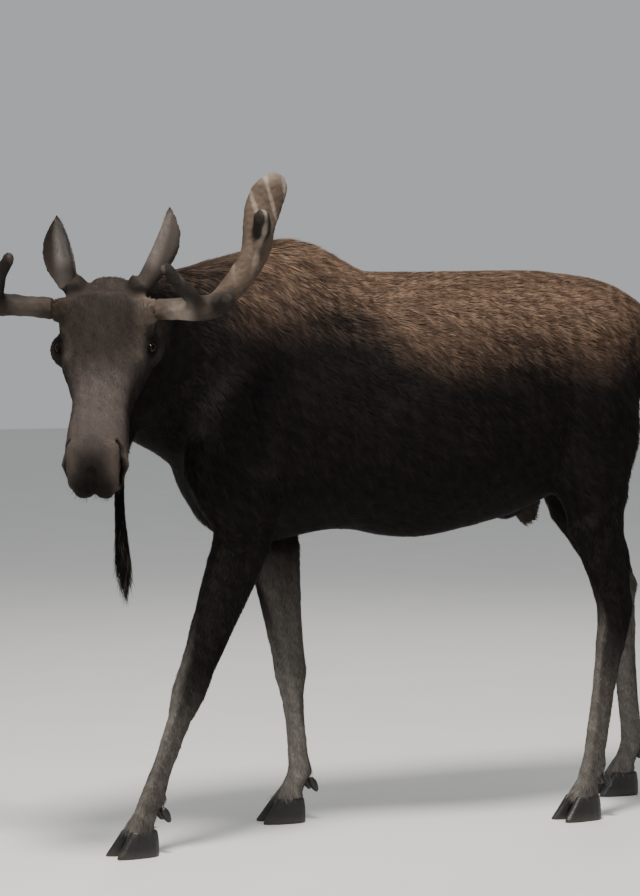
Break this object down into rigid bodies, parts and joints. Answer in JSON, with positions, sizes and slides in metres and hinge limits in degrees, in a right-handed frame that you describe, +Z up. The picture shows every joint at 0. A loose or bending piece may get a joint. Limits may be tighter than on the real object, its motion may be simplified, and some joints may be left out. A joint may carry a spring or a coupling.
{
  "type": "moose",
  "caption": "Life-size young bull moose standing in mid-stride with its head turned to its left, with small velvet antlers and a bell under the throat.",
  "frame": {"origin": "on the floor, under the middle of the animal's box", "axes": "+Z up, the animal walks towards -Y, and its left side is +X"},
  "size_m": [0.828, 2.514, 2.0097],
  "materials": {
    "coat": "rough short hair, dark brown",
    "velvet": "soft short velvet, grey brown",
    "hoof_horn": "satin horn, black",
    "eye": "wet and glossy, dark brown"
  },
  "bodies": {
    "root": {"antler_left_beam": "velvet", "antler_left_brow": "velvet", "antler_left_fork": "velvet", "antler_left_palm": "velvet", "antler_left_spur": "velvet", "antler_right_beam": "velvet", "antler_right_brow": "velvet", "antler_right_fork": "velvet", "antler_right_palm": "velvet", "antler_right_spur": "velvet", "bell": "coat", "dewclaw_front_left_inner": "hoof_horn", "dewclaw_front_left_outer": "hoof_horn", "dewclaw_front_right_inner": "hoof_horn", "dewclaw_front_right_outer": "hoof_horn", "dewclaw_hind_left_inner": "hoof_horn", "dewclaw_hind_left_outer": "hoof_horn", "dewclaw_hind_right_inner": "hoof_horn", "dewclaw_hind_right_outer": "hoof_horn", "ear_left": "coat", "ear_right": "coat", "eye_left": "eye", "eye_right": "eye", "head": "coat", "hoof_front_left_inner": "hoof_horn", "hoof_front_left_outer": "hoof_horn", "hoof_front_right_inner": "hoof_horn", "hoof_front_right_outer": "hoof_horn", "hoof_hind_left_inner": "hoof_horn", "hoof_hind_left_outer": "hoof_horn", "hoof_hind_right_inner": "hoof_horn", "hoof_hind_right_outer": "hoof_horn", "leg_front_left_lower": "coat", "leg_front_left_upper": "coat", "leg_front_right_lower": "coat", "leg_front_right_upper": "coat", "leg_hind_left_lower": "coat", "leg_hind_left_upper": "coat", "leg_hind_right_lower": "coat", "leg_hind_right_upper": "coat", "neck": "coat", "tail": "coat", "trunk": "coat"}
  },
  "joints": []
}
